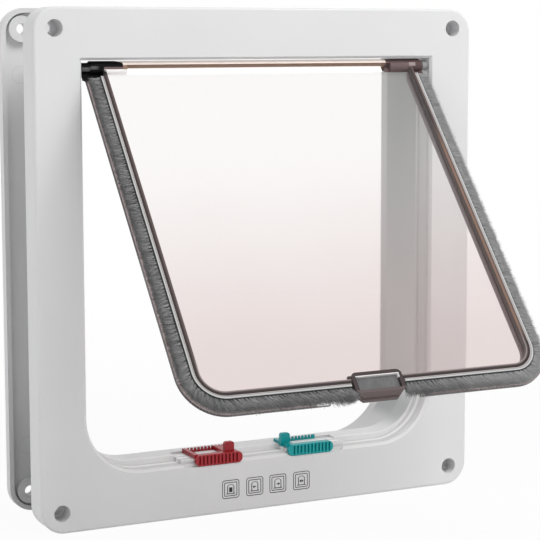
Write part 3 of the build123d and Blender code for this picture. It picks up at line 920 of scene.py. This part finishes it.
@dataclass
class PassageMarks:
    """Row of four printed marks under the locks, one for each way through the flap."""

    front: float = -15.0 * MM
    height: float = -113.0 * MM
    centres: Tuple[float, ...] = (-19.3 * MM, -6.05 * MM, 6.85 * MM, 20.15 * MM)
    ways: Tuple[Passage, ...] = (Passage.SHUT, Passage.INWARD, Passage.OUTWARD, Passage.BOTH)
    size: float = 9.0 * MM
    inner_size: float = 6.7 * MM
    corner: float = 1.1 * MM
    line: float = 0.36 * MM
    film: float = 0.05 * MM
    arch_steps: int = 8
    ink: InkFinish = InkFinish()

    def build(self) -> None:
        """Makes the rims and the pictures inside them."""
        material = self.ink.material()
        rims = mesh_object("mark_rims", [Vector((x, self.front, self.height)) for x in self.centres], [])
        self._rim_tree().run(rims, material)
        settle(rims, "frame")
        pictures = self._pictures()
        pictures.data.materials.append(material)
        settle(pictures, "frame")

    def _rim_tree(self) -> NodeGroup:
        """Tree that puts a double rounded rim on each point."""
        group = NodeGroup(
            "mark_rims",
            {
                "Outer Size": self.size,
                "Inner Size": self.inner_size,
                "Corner Radius": self.corner,
                "Line Width": self.line,
                "Film": self.film,
            },
        )
        graph, box = group.graph, "GeometryNodeCurvePrimitiveQuadrilateral"
        profile = graph.add(box, {"Width": group.given("Line Width"), "Height": 2.0 * group.given("Film")})
        joined = graph.add("GeometryNodeJoinGeometry")
        for size, share in (("Inner Size", 0.3), ("Outer Size", 1.0)):
            square = graph.add(box, {"Width": group.given(size), "Height": group.given(size)})
            inputs = {"Curve": square, "Count": 5, "Radius": share * group.given("Corner Radius")}
            eased = graph.add("GeometryNodeFilletCurve", inputs, mode="POLY")
            rim = graph.add("GeometryNodeCurveToMesh", {"Curve": eased, "Profile Curve": profile})
            graph.feed(joined.inputs[0], rim)
        points = graph.add("GeometryNodeMeshToPoints", {0: group.entry})
        inputs = {"Points": points, "Instance": joined, "Rotation": (math.pi / 2, 0.0, 0.0)}
        group.close(graph.add("GeometryNodeInstanceOnPoints", inputs))
        return group

    def _pictures(self) -> bpy.types.Object:
        """Doorway and arrows of every mark, as one thin piece."""
        verts: List[Vector] = []
        faces: List[List[int]] = []
        for centre, way in zip(self.centres, self.ways):
            for outline in self._picture(way):
                self._film(verts, faces, [(centre + x * MM, self.height + z * MM) for x, z in outline])
        obj = mesh_object("mark_pictures", verts, faces)
        face_outward(obj)
        return obj

    def _picture(self, way: Passage) -> List[List[Point2]]:
        """Flat outlines of one picture, in millimetres about the mark's centre."""
        shapes = [
            [(-1.9, -2.1), (-1.5, -2.1), (-1.5, 1.3), (-1.9, 1.3)],
            [(1.5, -2.1), (1.9, -2.1), (1.9, 1.3), (1.5, 1.3)],
            [(-2.4, -2.5), (2.4, -2.5), (2.4, -2.1), (-2.4, -2.1)],
        ]
        for step in range(self.arch_steps):
            low, high = (math.pi * (step + i) / self.arch_steps for i in (0, 1))
            shapes.append(
                [(radius * math.cos(turn), 1.3 + 0.6 * radius * math.sin(turn))
                 for radius, turn in ((1.5, low), (1.9, low), (1.9, high), (1.5, high))]
            )
        right = [(0.2, 0.55), (1.2, -0.25), (0.2, -1.05)]
        left = [(-x, z) for x, z in reversed(right)]
        if way is Passage.SHUT:
            return shapes + [[(-0.9, -1.5), (0.9, -1.5), (0.9, 0.9), (-0.9, 0.9)]]
        if way is not Passage.OUTWARD:
            shapes.append(left)
        if way is not Passage.INWARD:
            shapes.append(right)
        return shapes + [[(-0.75, -0.45), (0.75, -0.45), (0.75, -0.05), (-0.75, -0.05)]]

    def _film(self, verts: List[Vector], faces: List[List[int]], outline: List[Point2]) -> None:
        """Adds one outline as a thin closed film on the front face.

        Args:
            verts: Points so far, which grow.
            faces: Faces so far, which grow.
            outline: Corners of the film, across and up.
        """
        first, count = len(verts), len(outline)
        for depth in (self.front - self.film, self.front + self.film):
            verts.extend(Vector((x, depth, z)) for x, z in outline)
        faces.append([first + i for i in range(count)])
        faces.append([first + count + i for i in reversed(range(count))])
        for i in range(count):
            after = (i + 1) % count
            faces.append([first + after, first + i, first + count + i, first + count + after])


@dataclass
class FlapLeaf:
    """Tinted flap with its rib, hinge bar and magnet."""

    plane: FlapPlane
    magnet: MagnetFinish = MagnetFinish((0.13, 0.13, 0.13), (0.20, 0.20, 0.20))

    def build(self) -> None:
        """Dresses the CAD nodes of the flap."""
        dress("flap_panel", SmokedFinish(self.plane).material())
        dress("flap_magnet", self.magnet.material())


def clamp(value: float) -> float:
    """The value, kept between 0 and 1."""
    return min(max(value, 0.0), 1.0)


@dataclass
class Station:
    """Place on the outline of the rib: where it is and which way the pile grows there."""

    x: float
    down: float
    out_x: float
    out_down: float
    travelled: float


@dataclass
class PileSeal:
    """Strip of pile along one side and half the foot of the flap, held in a woven backing.

    The lean is given at the hinge, with what it gains at the foot and beside the housing.
    """

    side: Side
    plane: FlapPlane
    notch_end: float
    side_reach: float
    lean: Tuple[float, float, float]
    seed: int
    outline: RibOutline = RibOutline()
    start: float = 6.6 * MM
    end_half_width: float = 13.4 * MM
    fit: float = 0.05 * MM
    backing: float = 1.9 * MM
    backing_low: float = -0.2 * MM
    backing_high: float = 2.6 * MM
    reach: float = 7.85 * MM
    lock_reach: float = 8.5 * MM
    lock_ease: float = 1.5 * MM
    lean_ease: float = 7.0 * MM
    foot_start: float = 0.60
    foot_ease: float = 0.18
    roots: Tuple[Point2, ...] = ((0.0 * MM, -0.02), (2.2 * MM, 0.10))
    core_reach: float = 6.4 * MM
    core_high: float = 1.1 * MM
    density: float = 28.0e6
    tuft_pitch: float = 1.8 * MM
    step: float = 1.5 * MM
    corner_steps: int = 16

    def build(self, fibre: bpy.types.Material, felt: bpy.types.Material, weave: bpy.types.Material) -> None:
        """Makes the backing, the matted core and the fibres.

        Args:
            fibre: Finish of the loose fibres.
            felt: Finish of the core.
            weave: Finish of the backing.
        """
        name = self.side.name.lower()
        stations = self.stations()
        for piece, section, finish in (
            ("pile_backing_", self._backing_section, weave),
            ("pile_core_", self._core_section, felt),
        ):
            strip = self._sweep(piece + name, stations, section)
            strip.data.materials.append(finish)
            settle(strip, "flap")
        fur = self._root_ribbon("pile_fibres_" + name, stations)
        self._fibre_tree(name).run(fur, fibre)
        settle(fur, "flap")
        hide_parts("pile_seal_" + name)

    def stations(self) -> List[Station]:
        """Places along the rib's outline, from the hinge down and round to the housing."""
        sign, rib, steps = self.side.value, self.outline, self.corner_steps
        bend_x, bend_down = rib.half_width - rib.radius, rib.end - rib.radius
        straight = bend_down - self.start
        arc = rib.radius * math.pi / 2
        foot = bend_x - self.end_half_width
        places: List[Station] = []
        for i in range(round(straight / self.step) + 1):
            along = min(i * self.step, straight)
            places.append(Station(sign * rib.half_width, self.start + along, sign, 0.0, along))
        for i in range(1, steps + 1):
            turn = math.pi / 2 * i / steps
            out_x, out_down = sign * math.cos(turn), math.sin(turn)
            x, down = sign * bend_x + rib.radius * out_x, bend_down + rib.radius * out_down
            places.append(Station(x, down, out_x, out_down, straight + arc * i / steps))
        count = round(foot / self.step)
        for i in range(1, count + 1):
            along = foot * i / count
            places.append(Station(sign * (bend_x - along), rib.end, 0.0, 1.0, straight + arc + along))
        return places

    def _reach(self, place: Station) -> float:
        """How far the pile stands out from the rib at a place."""
        if place.out_down < 1.0:
            return self.side_reach + (self.reach - self.side_reach) * place.out_down
        share = clamp((abs(place.x) - self.notch_end) / self.lock_ease)
        return self.lock_reach + (self.reach - self.lock_reach) * share

    def _lean(self, place: Station, total: float) -> float:
        """How far the fibres lean along the strip, towards the housing where positive."""
        lean, at_foot, at_end = self.lean
        foot = clamp((place.travelled / total - self.foot_start) / self.foot_ease)
        end = clamp((total - place.travelled) / self.lean_ease)
        return lean + at_foot * foot + at_end * (1.0 - end)

    def _backing_section(self, _: Station) -> List[Point2]:
        """Section of the backing: distance from the rib and height, with an eased crest."""
        near, far, ease = self.fit, self.fit + self.backing, 0.4 * MM
        low, high = self.backing_low, self.backing_high
        return [
            (near, low),
            (far, low),
            (far, high - ease),
            (far - 0.3 * ease, high - 0.3 * ease),
            (far - ease, high),
            (near + ease, high),
            (near + 0.3 * ease, high - 0.3 * ease),
            (near, high - ease),
        ]

    def _core_section(self, place: Station) -> List[Point2]:
        """Section of the matted core: distance from the rib and height."""
        near = self.fit + self.backing
        far = min(self.core_reach, self._reach(place) - 1.0 * MM)
        low, high = self.backing_low + 0.05 * MM, self.core_high
        return [
            (near, low),
            (far - 0.4 * MM, low),
            (far, low + 0.5 * MM),
            (far - 0.3 * MM, high - 0.6 * MM),
            (far - 1.4 * MM, high),
            (near, high),
        ]

    def _point(self, place: Station, out: float, height: float) -> Vector:
        """Point out from the rib and up from the flap at a place."""
        return self.plane.point(place.x + out * place.out_x, place.down + out * place.out_down, height)

    def _sweep(
        self, name: str, stations: Sequence[Station], section: Callable[[Station], List[Point2]]
    ) -> bpy.types.Object:
        """Carries a section along the rib's outline and closes its ends.

        Args:
            name: Name of the piece.
            stations: Places along the outline.
            section: Function that gives the section at a place.

        Returns:
            The closed piece.
        """
        verts = [self._point(place, out, height) for place in stations for out, height in section(place)]
        count = len(verts) // len(stations)
        last = len(verts) - count
        faces: List[List[int]] = []
        for ring in range(0, last, count):
            for i in range(count):
                after = (i + 1) % count
                faces.append([ring + i, ring + after, ring + count + after, ring + count + i])
        faces.append(list(range(count)))
        faces.append([last + i for i in reversed(range(count))])
        obj = mesh_object(name, verts, faces)
        face_outward(obj)
        return obj

    def _root_ribbon(self, name: str, stations: Sequence[Station]) -> bpy.types.Object:
        """Ribbon that the fibres grow from, with their direction, lean and length on its points."""
        out = self.fit + self.backing - 0.15 * MM
        total = stations[-1].travelled
        verts: List[Vector] = []
        vectors: Dict[str, List[float]] = {"outward": [], "lean": []}
        numbers: Dict[str, List[float]] = {"reach": [], "travelled": []}
        for index, place in enumerate(stations):
            ahead = stations[min(index + 1, len(stations) - 1)]
            behind = stations[max(index - 1, 0)]
            way = self.plane.turn(ahead.x - behind.x, ahead.down - behind.down, 0.0).normalized()
            for height, splay in self.roots:
                verts.append(self._point(place, out, height))
                vectors["outward"].extend(self.plane.turn(place.out_x, place.out_down, splay).normalized())
                vectors["lean"].extend(way * self._lean(place, total))
                numbers["reach"].append(self._reach(place) - out)
                numbers["travelled"].append(place.travelled)
        faces = [[2 * ring, 2 * ring + 1, 2 * ring + 3, 2 * ring + 2] for ring in range(len(stations) - 1)]
        obj = mesh_object(name, verts, faces)
        for kind, slot, lists in (("FLOAT_VECTOR", "vector", vectors), ("FLOAT", "value", numbers)):
            for key, values in lists.items():
                obj.data.attributes.new(key, kind, "POINT").data.foreach_set(slot, values)
        return obj

    def _fibre_tree(self, name: str) -> NodeGroup:
        """Tree that plants a bent, tapered fibre on each of many scattered points."""
        group = NodeGroup(
            "pile_" + name,
            {
                "Density": self.density,
                "Thickness": 0.018,
                "Bend": 0.20,
                "Clump Size": 2.4 * MM,
                "Clumping": 0.36,
                "Ruffle": 0.15,
                "Shortest": 0.88,
                "Strand Size": 0.8 * MM,
                "Tuft Pitch": self.tuft_pitch,
                "Seed": self.seed,
            },
        )
        graph = group.graph
        points = graph.add(
            "GeometryNodeDistributePointsOnFaces",
            {"Mesh": group.entry, "Density": group.given("Density"), "Seed": group.given("Seed")},
            distribute_method="RANDOM",
        )
        place = graph.add("GeometryNodeInputPosition")
        clump = graph.add(
            "ShaderNodeTexNoise", {"Vector": place, "Scale": 1.0 / group.given("Clump Size"), "Detail": 1.0}
        )
        fibres = graph.add("GeometryNodeJoinGeometry")
        for bend in (0.35, 1.0, 1.7):
            graph.feed(fibres.inputs[0], self._fibre(group, bend))
        turned, length = self._growth(group, clump)
        planted = graph.add(
            "GeometryNodeInstanceOnPoints",
            {
                "Points": points,
                "Instance": fibres,
                "Pick Instance": True,
                "Instance Index": self._random(graph, "INT", 0, 2, 4),
                "Rotation": turned,
                "Scale": length,
            },
        )
        for key, value in self._shades(group, clump):
            planted = self._stored(graph, planted, key, value, "INSTANCE")
        group.close(planted)
        return group

    def _growth(self, group: NodeGroup, clump: bpy.types.Node) -> Tuple[bpy.types.Node, Term]:
        """Rotation and length of each fibre, from the ribbon's direction, lean and reach.

        Args:
            group: Tree that the fibres are made in.
            clump: Noise that bunches neighbouring fibres.

        Returns:
            The rotation's node and the length.
        """
        graph = group.graph
        outward, lean = (self._named(graph, key, "FLOAT_VECTOR") for key in ("outward", "lean"))
        swirl = graph.vector("SUBTRACT", {0: clump.outputs["Color"], 1: (0.5, 0.5, 0.5)})
        ruffle = self._random(graph, "FLOAT_VECTOR", (-1.0, -1.0, -1.0), (1.0, 1.0, 1.0), 1)
        way = graph.vector("ADD", {0: outward, 1: lean})
        for stray, share in ((swirl, "Clumping"), (ruffle, "Ruffle")):
            scaled = graph.vector("SCALE", {0: stray, "Scale": group.given(share)})
            way = graph.vector("ADD", {0: way, 1: scaled})
        way = graph.vector("NORMALIZE", {0: way})
        facing = graph.add("ShaderNodeVectorMath", {0: way, 1: outward}, operation="DOT_PRODUCT")
        share = Term(graph, self._random(graph, "FLOAT", group.given("Shortest"), 1.0, 2))
        reach = Term(graph, self._named(graph, "reach", "FLOAT"))
        length = reach * share / graph.term(facing, "Value").at_least(0.45)
        upright = graph.add("FunctionNodeAlignRotationToVector", {"Vector": way}, axis="Z")
        angle = self._random(graph, "FLOAT", 0.0, 2.0 * math.pi, 3)
        roll = graph.add("FunctionNodeAxisAngleToRotation", {"Axis": (0.0, 0.0, 1.0), "Angle": angle})
        turned = graph.add(
            "FunctionNodeRotateRotation", {"Rotation": upright, "Rotate By": roll}, rotation_space="LOCAL"
        )
        return turned, length

    def _shades(self, group: NodeGroup, clump: bpy.types.Node) -> Tuple[Tuple[str, Term], ...]:
        """Tone of each fibre and how near it lies to a gap between tufts, by attribute name."""
        graph = group.graph
        travelled = Term(graph, self._named(graph, "travelled", "FLOAT"))
        own = Term(graph, self._random(graph, "FLOAT", 0.0, 1.0, 5))
        strand = graph.add(
            "ShaderNodeTexNoise",
            {"W": travelled, "Scale": 1.0 / group.given("Strand Size"), "Detail": 1.0},
            noise_dimensions="1D",
        )
        shade = own * 0.25 + graph.term(strand).ramp(0.36, 0.64) * 0.6
        shade = shade + graph.term(clump).ramp(0.3, 0.7) * 0.15
        tuft = graph.math("FRACT", travelled / group.given("Tuft Pitch") + own * 0.12)
        return ("shade", shade), ("gap", abs(tuft - 0.5).ramp(0.26, 0.44))

    @staticmethod
    def _stored(graph: Graph, shape: bpy.types.Node, name: str, value: Term, domain: str) -> bpy.types.Node:
        """Stores a number on a shape's points or instances."""
        inputs = {"Geometry": shape, "Name": name, "Value": value}
        return graph.add("GeometryNodeStoreNamedAttribute", inputs, data_type="FLOAT", domain=domain)

    @staticmethod
    def _named(graph: Graph, name: str, kind: str) -> bpy.types.NodeSocket:
        """Reads an attribute of the ribbon."""
        node = graph.add("GeometryNodeInputNamedAttribute", {"Name": name}, data_type=kind)
        return node.outputs["Attribute"]

    @staticmethod
    def _random(graph: Graph, kind: str, low: Any, high: Any, seed: int) -> bpy.types.NodeSocket:
        """Random value of one kind between two limits, with a fixed seed."""
        node = graph.add("FunctionNodeRandomValue", {"Seed": seed}, data_type=kind)
        inputs = [socket for socket in node.inputs if socket.enabled]
        graph.feed(inputs[0], low)
        graph.feed(inputs[1], high)
        return next(socket for socket in node.outputs if socket.enabled)

    def _fibre(self, group: NodeGroup, bend: float) -> bpy.types.Node:
        """One fibre of unit length, bent to one side and tapered, with its place along it stored."""
        graph = group.graph
        lean = bend * group.given("Bend")
        middle = graph.add("ShaderNodeCombineXYZ", {"X": lean * 0.15, "Z": 0.55})
        tip = graph.add("ShaderNodeCombineXYZ", {"X": lean, "Z": 1.0})
        bow = {"Resolution": 2, "Start": (0.0, 0.0, 0.0), "Middle": middle, "End": tip}
        line = graph.add("GeometryNodeCurveQuadraticBezier", bow)
        along = graph.term(graph.add("GeometryNodeSplineParameter"), "Factor")
        marked = self._stored(graph, line, "along", along, "POINT")
        size = {"Resolution": 3, "Radius": group.given("Thickness")}
        ring = graph.add("GeometryNodeCurvePrimitiveCircle", size)
        taper = 1.0 - 0.7 * along
        tube = graph.add("GeometryNodeCurveToMesh", {"Curve": marked, "Profile Curve": ring, "Scale": taper})
        return graph.add("GeometryNodeGeometryToInstance", {0: tube})


@dataclass
class LockSliders:
    """Red and teal slider on the threshold."""

    red: LockFinish = LockFinish("red_gloss", (0.32, 0.010, 0.017), (0.42, 0.024, 0.032))
    teal: LockFinish = LockFinish("teal_gloss", (0.0, 0.32, 0.335), (0.005, 0.40, 0.41))

    def build(self) -> None:
        """Dresses the CAD nodes of the sliders."""
        dress("red_lock_slider", self.red.material())
        dress("teal_lock_slider", self.teal.material())


@dataclass(frozen=True)
class Lamp:
    """Soft rectangular lamp aimed at a point."""

    name: str
    place: Tuple[float, float, float]
    target: Tuple[float, float, float]
    size: Point2
    watts: float

    def build(self) -> None:
        """Puts the lamp in the scene."""
        data = bpy.data.lights.new(self.name, "AREA")
        data.shape = "RECTANGLE"
        data.size, data.size_y = self.size
        data.energy = self.watts
        obj = bpy.data.objects.new(self.name, data)
        obj.location = self.place
        aim = Vector(self.target) - Vector(self.place)
        obj.rotation_euler = aim.to_track_quat("-Z", "Y").to_euler()
        obj.visible_camera = obj.visible_transmission = obj.visible_glossy = False
        bpy.context.scene.collection.objects.link(obj)


@dataclass
class Studio:
    """White studio: floor, lamps, surroundings and the camera."""

    floor_height: float = -125.2 * MM
    floor_half: float = 4.0
    floor_grey: Colour = (0.72, 0.72, 0.72)
    floor_white: float = 0.95
    floor_fade: Point2 = (0.2, 0.75)
    ambient: float = 0.34
    lamps: Tuple[Lamp, ...] = (
        Lamp("key", (0.35, -0.70, 0.95), (0.0, 0.0, 0.05), (0.8, 0.6), 10.2),
        Lamp("fill", (-1.1, -0.6, 0.45), (0.0, 0.0, 0.0), (0.9, 0.9), 1.4),
        Lamp("front", (0.6, -1.1, -0.02), (0.0, 0.0, -0.05), (0.6, 0.4), 1.5),
        Lamp("left", (-1.2, 0.15, 0.25), (0.0, 0.0, 0.0), (0.8, 0.8), 3.0),
        Lamp("back", (0.3, 0.9, 0.7), (0.0, 0.0, 0.0), (0.9, 0.6), 1.6),
    )
    focal_pixels: float = 1748.14
    camera_place: Tuple[float, float, float] = (-372.6 * MM, -790.07 * MM, 108.17 * MM)
    yaw: float = math.radians(-25.84)
    pitch: float = math.radians(6.55)
    roll: float = math.radians(-0.135)
    shift_y: float = -0.05
    sensor: float = 36.0

    def build(self) -> None:
        """Sets up the stage and the camera."""
        bpy.context.scene.view_settings.view_transform = "Standard"
        self._surroundings()
        self._floor()
        for lamp in self.lamps:
            lamp.build()
        self._camera()

    @staticmethod
    def _seen(graph: Graph) -> Term:
        """1 for rays that show the background: from the camera, a reflection or through the flap."""
        path = graph.add("ShaderNodeLightPath")
        rays = ("Is Camera Ray", "Is Glossy Ray", "Is Transmission Ray")
        return union(graph.term(path, ray) for ray in rays)

    def _surroundings(self) -> None:
        """White where it is seen, softer where it only lights."""
        world = bpy.data.worlds.new("studio")
        bpy.context.scene.world = world
        graph = blank_graph(world)
        lights, shows = (
            graph.add("ShaderNodeBackground", {"Color": WHITE, "Strength": strength})
            for strength in (self.ambient, 1.0)
        )
        graph.add("ShaderNodeOutputWorld", {"Surface": graph.mixed(self._seen(graph), lights, shows)})

    def _floor(self) -> None:
        """Pale floor that keeps a soft shadow near the part and fades to white away from it."""
        half, height = self.floor_half, self.floor_height
        square = ((-half, -half), (half, -half), (half, half), (-half, half))
        floor = mesh_object("floor", [Vector((x, y, height)) for x, y in square], [[0, 1, 2, 3]])
        material = bpy.data.materials.new("pale_floor")
        graph = blank_graph(material)
        x, y, _ = graph.metres()
        white = self.floor_white + graph.length(x, y).ramp(*self.floor_fade) * (1.0 - self.floor_white)
        matt = graph.add("ShaderNodeBsdfDiffuse", {"Color": self.floor_grey})
        glow = graph.add("ShaderNodeEmission", {"Color": WHITE, "Strength": 1.0})
        graph.add("ShaderNodeOutputMaterial", {"Surface": graph.mixed(self._seen(graph) * white, matt, glow)})
        floor.data.materials.append(material)

    def _camera(self) -> None:
        """Camera at the photograph's place."""
        turn = (
            Matrix.Rotation(self.roll, 3, "Y")
            @ Matrix.Rotation(self.pitch, 3, "X")
            @ Matrix.Rotation(-self.yaw, 3, "Z")
        )
        right, depth, up = turn[0], turn[1], turn[2]
        data = bpy.data.cameras.new("camera")
        data.sensor_width = self.sensor
        data.lens = self.focal_pixels * self.sensor / IMAGE_PIXELS
        data.shift_y = self.shift_y
        data.clip_start, data.clip_end = 0.05, 50.0
        camera = bpy.data.objects.new("camera", data)
        axes = Matrix((right, up, -depth)).transposed().to_4x4()
        camera.matrix_world = Matrix.Translation(self.camera_place) @ axes
        bpy.context.scene.collection.objects.link(camera)
        bpy.context.scene.camera = camera


def main() -> None:
    """Builds the looks in order: stage, frames, flap, pile and locks."""
    logging.basicConfig(level=logging.INFO, format="%(message)s")
    plane = FlapPlane()
    Studio().build()
    Frames().build()
    PassageMarks().build()
    FlapLeaf(plane).build()
    finishes = [finish.material() for finish in (FibreFinish(), FeltFinish(), BackingFinish(plane))]
    for seal in (
        PileSeal(Side.LEFT, plane, 25.0 * MM, 7.85 * MM, (0.30, 0.38, -0.60), 11),
        PileSeal(Side.RIGHT, plane, 20.4 * MM, 7.3 * MM, (0.22, -0.80, 0.62), 23),
    ):
        seal.build(*finishes)
    LockSliders().build()


if __name__ == "__main__":
    main()
